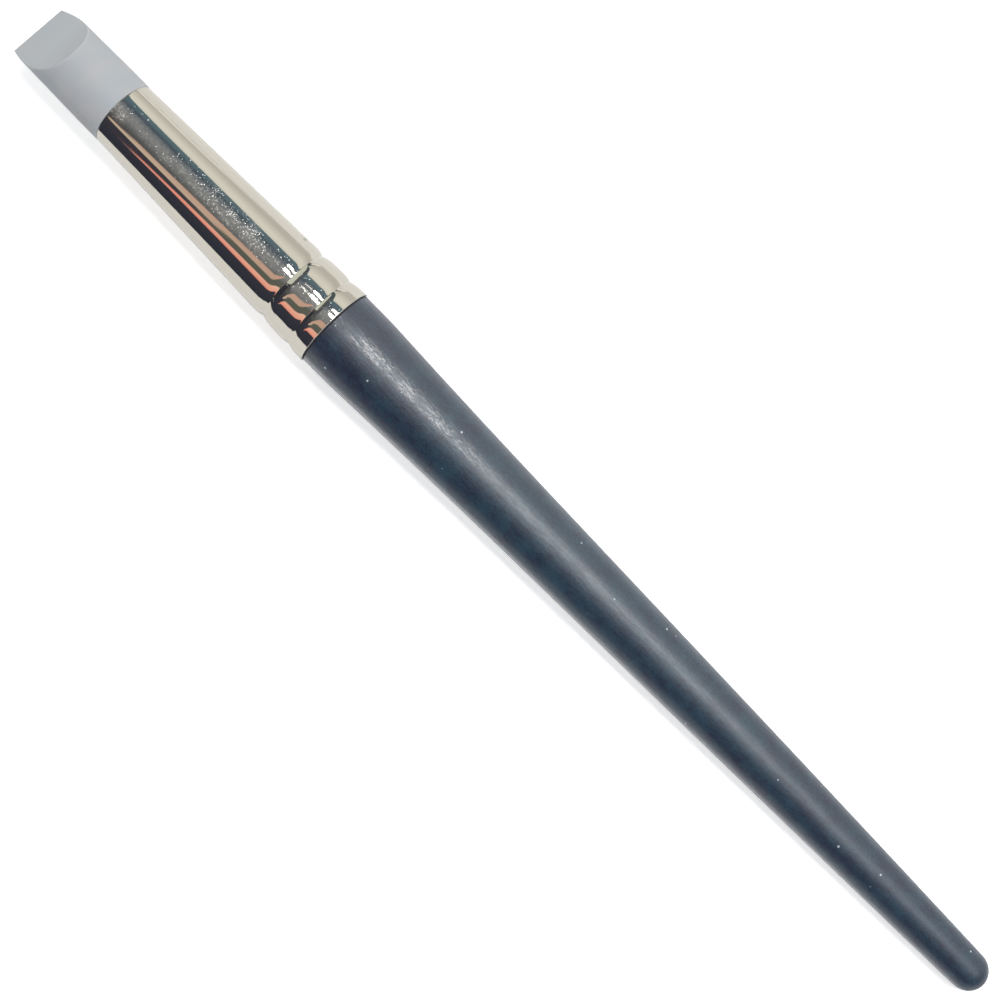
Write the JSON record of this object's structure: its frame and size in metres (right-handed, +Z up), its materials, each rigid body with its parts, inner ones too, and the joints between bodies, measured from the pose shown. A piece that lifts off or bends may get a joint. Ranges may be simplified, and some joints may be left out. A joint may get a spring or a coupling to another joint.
{
  "type": "clay shaper",
  "caption": "Hand tool for shaping clay and paint: a soft cupped chisel tip held in a tapered, crimped metal ferrule on a slim turned handle.",
  "frame": {"origin": "middle of the tool's length, on the surface that it lies on", "axes": "+X along the tool towards its tip, +Z up out of the cup's face, +Y across the chisel edge"},
  "size_m": [0.225, 0.0154, 0.0154],
  "materials": {
    "handle": "satin blue-black lacquer on turned wood",
    "ferrule": "polished nickel plate, lightly scratched",
    "adhesive_plug": "cured amber adhesive",
    "silicone_tip": "matte pale grey silicone"
  },
  "bodies": {
    "root": {"handle": "handle", "ferrule": "ferrule", "adhesive_plug": "adhesive_plug", "silicone_tip": "silicone_tip"}
  },
  "joints": []
}
